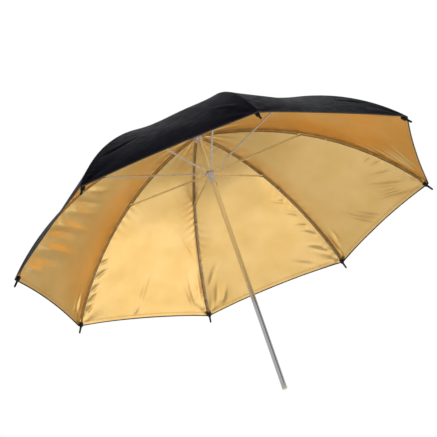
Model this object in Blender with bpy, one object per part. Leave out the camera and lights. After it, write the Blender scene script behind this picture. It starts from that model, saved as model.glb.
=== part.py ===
"""Umbrella reflector: a folding studio umbrella with eight ribs on a round shaft.

The shaft stands along Z with the crown at the top. The origin is the centre of
the flat lower end of the shaft. Rib 1 points along +X, and the others follow
every 45 degrees. Lengths are in metres.
"""

from math import asin, atan2, cos, hypot, pi, radians, sin, sqrt

import bmesh
import bpy
from mathutils import Vector

# Driving sizes: canopy and frame
RIB_COUNT = 8
CROWN_HEIGHT = 0.470  # rib hinges above the lower end of the shaft
RIM_RADIUS = 0.359  # canopy corners from the shaft's axis
DOME_RADIUS = 0.4385  # radius of the arc that each seam follows
JOINT_RADIUS = 0.1755  # rib to stretcher joints from the shaft's axis, open

# Shaft
SHAFT_RADIUS = 0.004
SHAFT_WALL = 0.0006
SHAFT_TOP_RISE = 0.0085  # tube above the rib hinges
END_CAP_LENGTH = 0.009
END_CAP_LIP = 0.0001  # cap wider than the tube
END_PLUG_DEPTH = 0.008
END_CAP_EDGE = 0.0006

# Pins and wire
WIRE_RADIUS = 0.0004
RIVET_RADIUS = 0.0005
RIVET_HEAD_RADIUS = 0.0012
RIVET_HEAD_HEIGHT = 0.0005
CROSS_PIN_RADIUS = 0.0008

# Ribs: a channel that opens towards the shaft
RIB_WIDTH = 0.0024
RIB_DEPTH = 0.0028
RIB_WALL = 0.00045
RIB_EDGE = 0.0004  # metal between the rivet hole and the rib's open side
RIB_END_WIDTH = 0.0020
RIB_END_DEPTH = 0.0024
BLADE_WIDTH = 0.0012  # pinched ends that carry the hinge eyes
BLADE_LENGTH = 0.008
BLADE_TAPER = 0.008
EYE_RIM = 0.0006  # metal around the hole of an eye

# Stretchers: a channel that opens towards the canopy
STRETCHER_WIDTH = 0.0026
STRETCHER_HALF_DEPTH = 0.0011
STRETCHER_WALL = 0.0004
STRETCHER_RINGS = (0.35, 0.65)  # shares of its length with a section of their own
FORK_EAR = 0.0005
FORK_LENGTH = 0.008
FORK_TAPER = 0.010
FORK_RIM = 0.0008  # metal around the rivet hole of an ear

# Crown notch and runner
SLEEVE_WALL = 0.0005
HUB_RIM = 0.0012  # hub outside the circle of eyes
BLADE_PLAY = 0.00035  # each side of a blade in its slot
NOTCH_FOOT = 0.0085  # notch below the rib hinges
NOTCH_FOOT_WALL = 0.0018
NOTCH_CONE_SHARE = 0.6  # share of the foot above its cone
CROWN_PIN_SHARE = 0.7  # cross pin's place down the foot
RUNNER_RISE = 0.0030  # runner above the stretcher pivots
RUNNER_HEAD = 0.0022  # straight part of the head below the pivots
RUNNER_CONE = 0.0100
RUNNER_LENGTH = 0.0216
RUNNER_EDGE = 0.0005
STOP_GAP = 0.0005

# Catch spring
CATCH_THICKNESS = 0.0010
CATCH_STICKOUT = 0.0026  # nose outside the shaft
CATCH_WEDGE = 0.013
CATCH_LEG = 0.011
CATCH_GAP = 0.0004
CATCH_LEG_DEPTH = 0.0010
CATCH_NOSE = 0.0012  # upright end of the wedge

# Canopy, its fittings and the rib ends
CANOPY_THICKNESS = 0.0005
SEAM_OVERHANG = 0.0005  # flat strip of the seam beyond each side of the rib
CANOPY_EYE_GAP = 0.0022  # between the shaft and the hole in the canopy
PANEL_SAG = 0.0056  # deepest sag of mid-panel below the straight line between two ribs
SAG_LEAN = 1.6  # above 1, the deepest sag lies nearer the rim than the crown
SCALLOP = 0.0060  # rim pulled in at mid-panel
SCALLOP_LEAN = 5  # how closely that pull keeps to the rim
WASHER_WIDTH = 0.0067
WASHER_HEIGHT = 0.0012
FITTING_EDGE = 0.0004  # bevels of the washer and ferrule
FERRULE_WALL = 0.0019
FERRULE_HEIGHT = 0.0150
FERRULE_TOP_RADIUS = 0.0030
FERRULE_BEAD = 0.0010  # bead wider than the flat top
FERRULE_BEAD_HEIGHT = 0.0014
FERRULE_NECK_HEIGHT = 0.0040  # neck under the bead, and the foot's flare
TIP_WALL = 0.0014
TIP_SOCKET = 0.0077
TIP_SOCKET_DEPTH = 0.0062
TIP_PIN_RADIUS = 0.0018
TIP_PIN_LENGTH = 0.0125
TIP_NOSE_RADIUS = 0.0016
TIP_EDGE = 0.0004  # bevels of the tip
TIE_RADIUS = 0.215  # thread ties from the shaft's axis
TIE_WIDTH = 0.0018
TIE_THREAD = 0.0005

# Clearance between pieces
CLEARANCE = 0.0003

# Facets
ROUND = 24  # sides of a round piece
SMALL_ROUND = 8
TIP_ROUND = 10
WIRE_SIDES = 6
SEAM_SPANS = 12  # straight spans along a seam and its rib

# Worked out from the sizes above
RIB_PITCH = 2 * pi / RIB_COUNT
HALF_PITCH = RIB_PITCH / 2
BORE_RADIUS = SHAFT_RADIUS + CLEARANCE
SLEEVE_RADIUS = BORE_RADIUS + SLEEVE_WALL
WIRE_HOLE_RADIUS = WIRE_RADIUS + CLEARANCE
RIVET_HOLE_RADIUS = RIVET_RADIUS + CLEARANCE
EYE_RADIUS = WIRE_HOLE_RADIUS + EYE_RIM
FORK_RADIUS = RIVET_HOLE_RADIUS + FORK_RIM
HINGE_RADIUS = SLEEVE_RADIUS + CLEARANCE + EYE_RADIUS  # rib and stretcher inner pivots
HUB_RADIUS = HINGE_RADIUS + HUB_RIM
NOTCH_FOOT_RADIUS = SLEEVE_RADIUS + NOTCH_FOOT_WALL
BLADE_SLOT_WIDTH = BLADE_WIDTH + 2 * BLADE_PLAY
RIB_BOTTOM = RIVET_HOLE_RADIUS + RIB_EDGE  # rib's open side below its pivot line
RIB_TOP = RIB_DEPTH - RIB_BOTTOM  # rib's back above its pivot line
SEAM_HALF_WIDTH = RIB_WIDTH / 2 + SEAM_OVERHANG
TIP_BORE = hypot(RIB_END_WIDTH, RIB_END_DEPTH) / 2 + CLEARANCE
TIP_RADIUS = TIP_BORE + TIP_WALL
TIP_DROP = TIP_RADIUS - RIB_TOP + CLEARANCE  # tip's axis below the rib's pivot line
CANOPY_EYE = SHAFT_RADIUS + CANOPY_EYE_GAP
EYE_ANGLE = asin(CANOPY_EYE / DOME_RADIUS)
RIM_ANGLE = asin(RIM_RADIUS / DOME_RADIUS)
SEAM_STEP = (RIM_ANGLE - EYE_ANGLE) / SEAM_SPANS
FACET_DROP = DOME_RADIUS * (1 - cos(SEAM_STEP / 2))  # flat spans lie this far inside the arc
PIVOT_DEPTH = RIB_TOP + CLEARANCE + FACET_DROP + CANOPY_THICKNESS  # from the canopy's outer face
PIVOT_ARC = DOME_RADIUS - PIVOT_DEPTH
ARC_CENTRE_Z = -sqrt(PIVOT_ARC**2 - HINGE_RADIUS**2)  # from the rib hinges
HINGE_ANGLE = asin(HINGE_RADIUS / PIVOT_ARC)
TIE_ANGLE = asin(TIE_RADIUS / PIVOT_ARC)
FORK_GAP = RIB_WIDTH / 2 + CLEARANCE
JOINT_DROP = sqrt(PIVOT_ARC**2 - JOINT_RADIUS**2) + ARC_CENTRE_Z
JOINT_OUT = JOINT_RADIUS - HINGE_RADIUS
STRETCHER_LENGTH = hypot(JOINT_OUT, JOINT_DROP)
RUNNER_Z = CROWN_HEIGHT + 2 * JOINT_DROP  # stretcher inner pivots, open
RUNNER_TOP = RUNNER_Z + RUNNER_RISE
RUNNER_BOTTOM = RUNNER_TOP - RUNNER_LENGTH
CATCH_TOP = RUNNER_BOTTOM - CATCH_GAP
CATCH_FOOT = CATCH_TOP - CATCH_WEDGE - CATCH_LEG
CROWN_PIN_Z = CROWN_HEIGHT - NOTCH_FOOT * CROWN_PIN_SHARE
STOP_PIN_Z = RUNNER_TOP + STOP_GAP + CROSS_PIN_RADIUS


def clear_scene():
    for item in list(bpy.data.objects):
        bpy.data.objects.remove(item, do_unlink=True)


def material(name, colour, roughness, metallic=0.0):
    made = bpy.data.materials.new(name)
    made.use_nodes = True
    shader = made.node_tree.nodes["Principled BSDF"]
    shader.inputs["Base Color"].default_value = (*colour, 1.0)
    shader.inputs["Roughness"].default_value = roughness
    shader.inputs["Metallic"].default_value = metallic
    made.diffuse_color = (*colour, 1.0)
    return made


def place(name, mesh, finish, parent=None, location=(0, 0, 0), turn=(0, 0, 0)):
    item = bpy.data.objects.new(name, mesh)
    bpy.context.scene.collection.objects.link(item)
    if not mesh.materials:
        mesh.materials.append(finish)
    item.parent = parent
    item.location = location
    item.rotation_euler = turn
    return item


def empty(name, parent=None, location=(0, 0, 0), turn=(0, 0, 0)):
    item = bpy.data.objects.new(name, None)
    bpy.context.scene.collection.objects.link(item)
    item.parent = parent
    item.location = location
    item.rotation_euler = turn
    return item


def finish_mesh(name, shape, smooth_below=radians(35)):
    """Turn a bmesh into a mesh whose faces point out, smooth over shallow edges."""
    bmesh.ops.recalc_face_normals(shape, faces=shape.faces)
    mesh = bpy.data.meshes.new(name)
    shape.to_mesh(mesh)
    shape.free()
    mesh.shade_smooth()
    mesh.set_sharp_from_angle(angle=smooth_below)
    return mesh


def cut(mesh, *cutters):
    """Take the cutters' meshes away from a mesh and give the new mesh."""
    item = bpy.data.objects.new("work", mesh)
    bpy.context.scene.collection.objects.link(item)
    tools = []
    for number, cutter in enumerate(cutters):
        tool = bpy.data.objects.new(f"cutter_{number}", cutter)
        bpy.context.scene.collection.objects.link(tool)
        tool.hide_render = True
        tool.display_type = "WIRE"
        modifier = item.modifiers.new(f"cut_{number}", "BOOLEAN")
        modifier.operation = "DIFFERENCE"
        modifier.solver = "EXACT"
        modifier.object = tool
        tools.append(tool)
    bpy.context.view_layer.update()
    graph = bpy.context.evaluated_depsgraph_get()
    result = bpy.data.meshes.new_from_object(item.evaluated_get(graph))
    result.name = mesh.name
    for used in [item, *tools]:
        bpy.data.objects.remove(used, do_unlink=True)
    result.set_sharp_from_angle(angle=radians(35))
    return result


def skin(name, rings):
    """A solid from equal rings of points, side by side, with flat ends."""
    shape = bmesh.new()
    made = [[shape.verts.new(point) for point in ring] for ring in rings]
    count = len(made[0])
    for near, far in zip(made, made[1:]):
        for i in range(count):
            j = (i + 1) % count
            shape.faces.new((near[i], near[j], far[j], far[i]))
    shape.faces.new(list(reversed(made[0])))
    shape.faces.new(made[-1])
    return finish_mesh(name, shape)


def turned(name, profile, sides=ROUND):
    """A solid of revolution about Z from a closed profile of (radius, z)."""
    shape = bmesh.new()
    columns = []
    for step in range(sides):
        angle = 2 * pi * step / sides
        columns.append([])
        for radius, z in profile:
            point = (radius * cos(angle), radius * sin(angle), z)
            on_axis = radius == 0 and step > 0
            columns[-1].append(None if on_axis else shape.verts.new(point))
    for step in range(sides):
        for i in range(len(profile)):
            j = (i + 1) % len(profile)
            corners = [
                columns[step][i] or columns[0][i],
                columns[(step + 1) % sides][i] or columns[0][i],
                columns[(step + 1) % sides][j] or columns[0][j],
                columns[step][j] or columns[0][j],
            ]
            around = list(dict.fromkeys(corners))
            if len(around) > 2:
                shape.faces.new(around)
    return finish_mesh(name, shape)


def rod(name, radius, start, end, sides=SMALL_ROUND):
    """A round bar between two points."""
    start, end = Vector(start), Vector(end)
    along = (end - start).normalized()
    side = along.orthogonal().normalized()
    other = along.cross(side)
    rings = []
    for centre in (start, end):
        ring = []
        for step in range(sides):
            angle = 2 * pi * (step + 0.5) / sides
            ring.append(centre + radius * (cos(angle) * side + sin(angle) * other))
        rings.append(ring)
    return skin(name, rings)


def block(name, low, high):
    """A box between two corners."""
    (x0, y0, z0), (x1, y1, z1) = low, high
    rings = [[(x, y0, z0), (x, y1, z0), (x, y1, z1), (x, y0, z1)] for x in (x0, x1)]
    return skin(name, rings)


def channel_ring(centre, along, half_width, wall, back, front):
    """One U-shaped section, square to `along` in the XZ plane.

    `back` is where the web's outer face lies along the section's normal, and
    `front` where the channel opens.
    """
    normal = Vector((-along[1], 0, along[0]))
    web = back + (front - back) * min(wall / abs(front - back), 0.5)
    inner = half_width - wall
    outline = [
        (-half_width, front),
        (-half_width, back),
        (half_width, back),
        (half_width, front),
        (inner, front),
        (inner, web),
        (-inner, web),
        (-inner, front),
    ]
    origin = Vector((centre[0], 0, centre[1]))
    return [origin + Vector((0, y, 0)) + normal * n for y, n in outline]


def round_end(radius, steps=3):
    """Distances from an eye's rim inwards, with the half depth at each."""
    for step in range(steps):
        angle = pi / 2 * (step + 0.45) / (steps + 0.45)
        yield radius * cos(angle), radius * sin(angle)


def on_arc(angle, offset=0.0):
    """A point of the rib's pivot arc in the rib's frame, moved out by `offset`."""
    reach = PIVOT_ARC + offset
    return (reach * sin(angle) - HINGE_RADIUS, reach * cos(angle) + ARC_CENTRE_Z)


def arc_direction(angle):
    return (cos(angle), -sin(angle))


def on_span(angle):
    """The point at an angle on the rib's straight spans, and the span's direction."""
    number = int((angle - EYE_ANGLE) / SEAM_STEP)
    start = EYE_ANGLE + SEAM_STEP * number
    share = (angle - start) / SEAM_STEP
    near, far = on_arc(start), on_arc(start + SEAM_STEP)
    point = tuple(a + (b - a) * share for a, b in zip(near, far))
    return point, arc_direction(start + SEAM_STEP / 2)


def seam_angles():
    return [EYE_ANGLE + SEAM_STEP * step for step in range(SEAM_SPANS + 1)]


def between(share, low, high):
    return low + (high - low) * min(max(share, 0.0), 1.0)


def rib_section(angle):
    """Half width, wall, back and front of the rib at an angle of its arc."""
    from_hinge = (angle - HINGE_ANGLE) * PIVOT_ARC
    from_rim = (RIM_ANGLE - angle) * PIVOT_ARC
    opened = (from_hinge - BLADE_LENGTH) / BLADE_TAPER
    narrowed = 1 - (from_rim - TIP_SOCKET - CLEARANCE) / BLADE_TAPER
    width = between(opened, BLADE_WIDTH, RIB_WIDTH)
    width = between(narrowed, width, RIB_END_WIDTH)
    back = between(opened, EYE_RADIUS, RIB_TOP)
    back = between(narrowed, back, RIB_END_DEPTH / 2 - TIP_DROP)
    front = between(opened, -EYE_RADIUS, -RIB_BOTTOM)
    front = between(narrowed, front, -RIB_END_DEPTH / 2 - TIP_DROP)
    return width / 2, RIB_WALL, back, front


def rib_mesh():
    """The rib in its own frame: hinge at the origin, outwards along +X."""
    rings = []
    start = arc_direction(HINGE_ANGLE)
    for back_off, half_depth in round_end(EYE_RADIUS):
        centre = (-start[0] * back_off, -start[1] * back_off)
        rings.append(channel_ring(centre, start, BLADE_WIDTH / 2, RIB_WALL, half_depth, -half_depth))
    straight = [HINGE_ANGLE + BLADE_LENGTH / PIVOT_ARC * share for share in (0.0, 1.0)]
    opened = straight[-1] + BLADE_TAPER / PIVOT_ARC
    narrowing = RIM_ANGLE - (TIP_SOCKET + CLEARANCE + BLADE_TAPER) / PIVOT_ARC
    end = RIM_ANGLE - (TIP_SOCKET - TIP_SOCKET_DEPTH + CLEARANCE) / PIVOT_ARC
    socket_mouth = RIM_ANGLE - (TIP_SOCKET + CLEARANCE) / PIVOT_ARC
    curve = [angle for angle in seam_angles() if opened < angle < narrowing]
    for angle in [*straight, opened, *curve, narrowing, socket_mouth]:
        rings.append(channel_ring(on_arc(angle), arc_direction(angle), *rib_section(angle)))
    # inside its tip, the rib runs straight along the tip's axis
    tip_along = arc_direction(RIM_ANGLE)
    corner = on_arc(RIM_ANGLE)
    inset = (RIM_ANGLE - end) * PIVOT_ARC
    centre = (corner[0] - tip_along[0] * inset, corner[1] - tip_along[1] * inset)
    rings.append(channel_ring(centre, tip_along, *rib_section(end)))
    body = skin("rib", rings)
    reach = RIB_WIDTH
    eye = rod("eye", WIRE_HOLE_RADIUS, (0, -reach, 0), (0, reach, 0))
    sides = [(JOINT_OUT, side, JOINT_DROP) for side in (-reach, reach)]
    joint = rod("joint", RIVET_HOLE_RADIUS, *sides)
    return cut(body, eye, joint)


def stretcher_mesh():
    """The stretcher in its own frame: joint at the origin, inwards along its run."""
    run = (-JOINT_OUT / STRETCHER_LENGTH, JOINT_DROP / STRETCHER_LENGTH)
    rings = []

    def add(distance, width, wall, depth):
        centre = (run[0] * distance, run[1] * distance)
        rings.append(channel_ring(centre, run, width / 2, wall, depth, -depth))

    fork_width = 2 * (FORK_GAP + FORK_EAR)
    fork_wall = FORK_EAR + CLEARANCE / 2
    for back_off, half_depth in round_end(FORK_RADIUS):
        add(-back_off, fork_width, fork_wall, half_depth)
    add(0.0, fork_width, fork_wall, FORK_RADIUS)
    add(FORK_LENGTH, fork_width, fork_wall, STRETCHER_HALF_DEPTH)
    add(FORK_LENGTH + FORK_TAPER, STRETCHER_WIDTH, STRETCHER_WALL, STRETCHER_HALF_DEPTH)
    for share in STRETCHER_RINGS:
        add(STRETCHER_LENGTH * share, STRETCHER_WIDTH, STRETCHER_WALL, STRETCHER_HALF_DEPTH)
    inner = STRETCHER_LENGTH - BLADE_LENGTH
    add(inner - BLADE_TAPER, STRETCHER_WIDTH, STRETCHER_WALL, STRETCHER_HALF_DEPTH)
    add(inner, BLADE_WIDTH, STRETCHER_WALL, EYE_RADIUS)
    add(STRETCHER_LENGTH, BLADE_WIDTH, STRETCHER_WALL, EYE_RADIUS)
    for back_off, half_depth in reversed(list(round_end(EYE_RADIUS))):
        add(STRETCHER_LENGTH + back_off, BLADE_WIDTH, STRETCHER_WALL, half_depth)
    body = skin("stretcher", rings)

    reach = fork_width
    eye_x, eye_z = run[0] * STRETCHER_LENGTH, run[1] * STRETCHER_LENGTH
    rivet = rod("rivet_hole", RIVET_HOLE_RADIUS, (0, -reach, 0), (0, reach, 0))
    eye = rod("eye", WIRE_HOLE_RADIUS, (eye_x, -reach, eye_z), (eye_x, reach, eye_z))
    # the fork is open between its ears, so that the rib passes through it
    slope = atan2(run[1], run[0])
    low = (-2 * FORK_RADIUS, -FORK_GAP, -3 * FORK_RADIUS)
    high = (FORK_LENGTH - CLEARANCE, FORK_GAP, 3 * FORK_RADIUS)
    gap = block("fork_gap", low, high)
    for vertex in gap.vertices:
        x, z = vertex.co.x, vertex.co.z
        vertex.co.x = x * cos(slope) - z * sin(slope)
        vertex.co.z = x * sin(slope) + z * cos(slope)
    gap.update()
    return cut(body, gap, rivet, eye)


def rivet_mesh():
    """A headed pin across the joint, in the joint's frame."""
    shoulder = FORK_GAP + FORK_EAR + CLEARANCE
    outer = shoulder + RIVET_HEAD_HEIGHT
    profile = [
        (0, -outer),
        (RIVET_HEAD_RADIUS, -outer),
        (RIVET_HEAD_RADIUS, -shoulder),
        (RIVET_RADIUS, -shoulder),
        (RIVET_RADIUS, shoulder),
        (RIVET_HEAD_RADIUS, shoulder),
        (RIVET_HEAD_RADIUS, outer),
        (0, outer),
    ]
    return turned("joint_rivet", profile, SMALL_ROUND)


def tip_mesh():
    """A moulded rib end, along +Z from the canopy's corner, socket at the back."""
    slant = TIP_NOSE_RADIUS * sqrt(0.5)
    profile = [
        (TIP_BORE, -TIP_SOCKET),
        (TIP_RADIUS - TIP_EDGE, -TIP_SOCKET),
        (TIP_RADIUS, -TIP_SOCKET + TIP_EDGE),
        (TIP_RADIUS, -TIP_EDGE),
        (TIP_RADIUS - TIP_EDGE, 0),
        (TIP_PIN_RADIUS + TIP_EDGE, 2 * TIP_EDGE),
        (TIP_PIN_RADIUS, 5 * TIP_EDGE),
        (TIP_NOSE_RADIUS, TIP_PIN_LENGTH - TIP_NOSE_RADIUS),
        (slant, TIP_PIN_LENGTH - TIP_NOSE_RADIUS + slant),
        (0, TIP_PIN_LENGTH),
        (0, -TIP_SOCKET + TIP_SOCKET_DEPTH),
        (TIP_BORE, -TIP_SOCKET + TIP_SOCKET_DEPTH),
    ]
    return turned("rib_tip", profile, TIP_ROUND)


def tie_mesh():
    """A band of thread under the rib, its ends up at the canopy."""
    outer = RIB_WIDTH / 2 + CLEARANCE + TIE_THREAD
    bottom = -RIB_BOTTOM - CLEARANCE - TIE_THREAD
    middle, along = on_span(TIE_ANGLE)
    rings = []
    for side in (-TIE_WIDTH / 2, TIE_WIDTH / 2):
        centre = (middle[0] + along[0] * side, middle[1] + along[1] * side)
        rings.append(channel_ring(centre, along, outer, TIE_THREAD, bottom, RIB_TOP))
    return skin("thread_tie", rings)


def canopy_point(angle, across):
    """A point of the canopy's outer face in the rib's frame.

    `angle` runs along the seam from the crown to the rim. `across` is 0 at the
    edge of the seam's flat strip and 1 at mid-panel, on the +Y side.
    """
    radius = DOME_RADIUS * sin(angle)
    height = DOME_RADIUS * cos(angle) + ARC_CENTRE_Z
    middle = Vector((cos(HALF_PITCH), sin(HALF_PITCH), 0))
    seam = Vector((radius, SEAM_HALF_WIDTH, height))
    half = middle * (seam.dot(middle))
    centre = Vector((half.x, half.y, height))
    point = seam.lerp(centre, across)
    bow = across * (2 - across)
    run = (angle - EYE_ANGLE) / (RIM_ANGLE - EYE_ANGLE)
    inwards = -(middle * sin(angle) + Vector((0, 0, cos(angle))))
    up_seam = -(middle * cos(angle) - Vector((0, 0, sin(angle))))
    point += inwards * PANEL_SAG * bow * sin(pi * min(run, 1.0) ** SAG_LEAN)
    point += up_seam * SCALLOP * bow * run**SCALLOP_LEAN
    return point - Vector((HINGE_RADIUS, 0, 0))


def canopy_mesh():
    """One eighth of the canopy: the seam over a rib with half a panel each side."""
    across = [0.0, 1 / 3, 2 / 3, 1.0]
    shape = bmesh.new()
    rows = []
    for angle in seam_angles():
        half = [canopy_point(angle, share) for share in across]
        # half the gap to the next eighth, square to mid-panel
        half[-1] += Vector((sin(HALF_PITCH), -cos(HALF_PITCH), 0)) * CLEARANCE / 2
        mirrored = [Vector((p.x, -p.y, p.z)) for p in half]
        rows.append([shape.verts.new(p) for p in [*reversed(mirrored), *half]])
    for near, far in zip(rows, rows[1:]):
        for i in range(len(near) - 1):
            shape.faces.new((near[i], far[i], far[i + 1], near[i + 1]))
    bmesh.ops.recalc_face_normals(shape, faces=shape.faces)
    mesh = bpy.data.meshes.new("canopy_eighth")
    shape.to_mesh(mesh)
    shape.free()
    mesh.shade_smooth()
    return mesh


def slotted_ring(name, profile, top, bottom):
    """A turned ring with a wire groove and a slot for each blade."""
    body = turned(name, profile)
    cutters = []
    for number in range(RIB_COUNT):
        low = (SLEEVE_RADIUS, -BLADE_SLOT_WIDTH / 2, bottom - CLEARANCE)
        high = (2 * HUB_RADIUS, BLADE_SLOT_WIDTH / 2, top + CLEARANCE)
        slot = block(f"slot_{number}", low, high)
        turn = RIB_PITCH * number
        for vertex in slot.vertices:
            x, y = vertex.co.x, vertex.co.y
            vertex.co.x = x * cos(turn) - y * sin(turn)
            vertex.co.y = x * sin(turn) + y * cos(turn)
        slot.update()
        cutters.append(slot)
    return body, cutters


def groove():
    """The part of a ring's profile that the tie wire lies in, top to bottom."""
    half = WIRE_RADIUS + CLEARANCE
    floor = HINGE_RADIUS - half
    return [(HUB_RADIUS, half), (floor, half), (floor, -half), (HUB_RADIUS, -half)]


def cross_hole(height, radius):
    reach = 2 * HUB_RADIUS
    turn = HALF_PITCH
    side = (reach * cos(turn), reach * sin(turn))
    return rod("cross_hole", radius, (-side[0], -side[1], height), (side[0], side[1], height))


def cross_pin(name, half_length):
    side = (half_length * cos(HALF_PITCH), half_length * sin(HALF_PITCH))
    return rod(name, CROSS_PIN_RADIUS, (-side[0], -side[1], 0), (side[0], side[1], 0))


def make_shaft(chrome, pale_plastic, steel):
    end_gap = END_CAP_LENGTH + CLEARANCE
    bore = SHAFT_RADIUS - SHAFT_WALL
    top = CROWN_HEIGHT + SHAFT_TOP_RISE
    tube = turned(
        "shaft_tube",
        [(bore, top), (SHAFT_RADIUS, top), (SHAFT_RADIUS, end_gap), (bore, end_gap)],
    )
    slot_half = CATCH_THICKNESS / 2 + CLEARANCE
    slot = block(
        "catch_slot",
        (0.0, -slot_half, CATCH_TOP - CATCH_WEDGE - 3 * CLEARANCE),
        (2 * SHAFT_RADIUS, slot_half, CATCH_TOP + 2 * CLEARANCE),
    )
    hole = CROSS_PIN_RADIUS + CLEARANCE
    crown_hole = cross_hole(CROWN_PIN_Z, hole)
    stop_hole = cross_hole(STOP_PIN_Z, hole)
    place("shaft_tube", cut(tube, slot, crown_hole, stop_hole), chrome)

    plug = bore - CLEARANCE
    outer = SHAFT_RADIUS + END_CAP_LIP
    edge = END_CAP_EDGE
    cap = turned(
        "shaft_end_cap",
        [
            (0, END_CAP_LENGTH + END_PLUG_DEPTH),
            (plug - edge, END_CAP_LENGTH + END_PLUG_DEPTH),
            (plug, END_CAP_LENGTH + END_PLUG_DEPTH - edge),
            (plug, END_CAP_LENGTH),
            (outer, END_CAP_LENGTH),
            (outer, edge),
            (outer - edge, 0),
            (0, 0),
        ],
    )
    place("shaft_end_cap", cap, pale_plastic)
    crown_pin = cross_pin("crown_pin", NOTCH_FOOT_RADIUS - CLEARANCE)
    stop_pin = cross_pin("stop_pin", SLEEVE_RADIUS + CROSS_PIN_RADIUS)
    place("crown_pin", crown_pin, steel, location=(0, 0, CROWN_PIN_Z))
    place("stop_pin", stop_pin, steel, location=(0, 0, STOP_PIN_Z))


def make_crown(white_plastic, black_plastic, steel):
    top = RIB_TOP
    cone_start = -NOTCH_CONE_SHARE * NOTCH_FOOT
    profile = [
        (BORE_RADIUS, top),
        (HUB_RADIUS, top),
        *groove(),
        (HUB_RADIUS, cone_start),
        (NOTCH_FOOT_RADIUS, -NOTCH_FOOT),
        (BORE_RADIUS, -NOTCH_FOOT),
    ]
    notch, slots = slotted_ring("crown_notch", profile, top, -NOTCH_FOOT)
    hole = cross_hole(CROWN_PIN_Z - CROWN_HEIGHT, CROSS_PIN_RADIUS + CLEARANCE)
    place("crown_notch", cut(notch, *slots, hole), white_plastic, location=(0, 0, CROWN_HEIGHT))

    wire_profile = []
    for step in range(WIRE_SIDES):
        angle = 2 * pi * step / WIRE_SIDES
        wire_profile.append((HINGE_RADIUS + WIRE_RADIUS * cos(angle), WIRE_RADIUS * sin(angle)))
    wire = turned("crown_tie_wire", wire_profile)
    place("crown_tie_wire", wire, steel, location=(0, 0, CROWN_HEIGHT))

    washer_z = PIVOT_DEPTH + CLEARANCE
    washer_rim = BORE_RADIUS + WASHER_WIDTH
    edge = FITTING_EDGE
    washer = turned(
        "canopy_washer",
        [
            (BORE_RADIUS, washer_z + WASHER_HEIGHT),
            (washer_rim - edge, washer_z + WASHER_HEIGHT),
            (washer_rim, washer_z + WASHER_HEIGHT - edge),
            (washer_rim, washer_z),
            (BORE_RADIUS, washer_z),
        ],
    )
    place("canopy_washer", washer, black_plastic, location=(0, 0, CROWN_HEIGHT))

    base = washer_z + WASHER_HEIGHT + CLEARANCE
    crest = base + FERRULE_HEIGHT
    socket_top = SHAFT_TOP_RISE + CLEARANCE
    bead = FERRULE_TOP_RADIUS + FERRULE_BEAD
    foot = BORE_RADIUS + FERRULE_WALL
    ferrule = turned(
        "top_ferrule",
        [
            (0, crest),
            (FERRULE_TOP_RADIUS, crest),
            (bead, crest - edge),
            (bead, crest - FERRULE_BEAD_HEIGHT),
            (bead - edge / 2, crest - FERRULE_NECK_HEIGHT),
            (foot - FERRULE_BEAD, base + FERRULE_NECK_HEIGHT),
            (foot, base + FERRULE_NECK_HEIGHT / 2),
            (foot, base),
            (BORE_RADIUS, base),
            (BORE_RADIUS, socket_top),
            (0, socket_top),
        ],
    )
    place("top_ferrule", ferrule, black_plastic, location=(0, 0, CROWN_HEIGHT))


def make_runner(white_plastic):
    top = RUNNER_RISE
    bottom = RUNNER_RISE - RUNNER_LENGTH
    edge = RUNNER_EDGE
    profile = [
        (BORE_RADIUS, top),
        (HUB_RADIUS - edge, top),
        (HUB_RADIUS, top - edge),
        *groove(),
        (HUB_RADIUS, -RUNNER_HEAD),
        (SLEEVE_RADIUS, -RUNNER_CONE),
        (SLEEVE_RADIUS, bottom),
        (BORE_RADIUS, bottom),
    ]
    runner, slots = slotted_ring("runner", profile, top, -RUNNER_CONE)
    place("runner", cut(runner, *slots), white_plastic, location=(0, 0, RUNNER_Z))


def make_catch(steel):
    """The wedge that stops the runner, on a leg held inside the shaft."""
    bore = SHAFT_RADIUS - SHAFT_WALL
    outer = bore - CLEARANCE
    nose = CATCH_TOP - CATCH_FOOT
    wedge_end = nose - CATCH_WEDGE
    reach = SHAFT_RADIUS + CATCH_STICKOUT
    leg = CATCH_LEG_DEPTH
    outline = [
        (outer - leg, 0),
        (outer, 0),
        (outer, wedge_end),
        (reach, nose - CATCH_NOSE),
        (reach, nose),
        (outer - 2 * leg, nose),
        (outer - 2 * leg, nose - leg),
        (outer - leg, nose - 2 * leg),
    ]
    rings = []
    for side in (-1, 1):
        y = side * CATCH_THICKNESS / 2
        rings.append([(x - outer + leg / 2, y, z) for x, z in outline])
    hinge = empty("catch_hinge", location=(outer - leg / 2, 0, CATCH_FOOT))
    place("catch_spring", skin("catch_spring", rings), steel, parent=hinge)


def make_ribs(finishes):
    rib, stretcher, rivet = rib_mesh(), stretcher_mesh(), rivet_mesh()
    tip, tie, canopy = tip_mesh(), tie_mesh(), canopy_mesh()
    corner = on_arc(RIM_ANGLE, -TIP_DROP)
    for number in range(1, RIB_COUNT + 1):
        turn = RIB_PITCH * (number - 1)
        location = (HINGE_RADIUS * cos(turn), HINGE_RADIUS * sin(turn), CROWN_HEIGHT)
        hinge = empty(f"rib_hinge_{number}", location=location, turn=(0, 0, turn))
        joint_at = (JOINT_OUT, 0, JOINT_DROP)
        joint = empty(f"stretcher_joint_{number}", parent=hinge, location=joint_at)
        place(f"rib_{number}", rib, finishes["dark_steel"], parent=hinge)
        place(f"stretcher_{number}", stretcher, finishes["bright_steel"], parent=joint)
        place(f"joint_rivet_{number}", rivet, finishes["steel"], hinge, joint_at, (pi / 2, 0, 0))
        place(f"thread_tie_{number}", tie, finishes["thread"], parent=hinge)
        tip_at, tip_turn = (corner[0], 0, corner[1]), (0, pi / 2 + RIM_ANGLE, 0)
        place(f"rib_tip_{number}", tip, finishes["black_plastic"], hinge, tip_at, tip_turn)
        panel = place(f"canopy_section_{number}", canopy, finishes["fabric"], parent=hinge)
        shell = panel.modifiers.new("thickness", "SOLIDIFY")
        shell.thickness = CANOPY_THICKNESS
        shell.offset = -1.0


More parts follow.
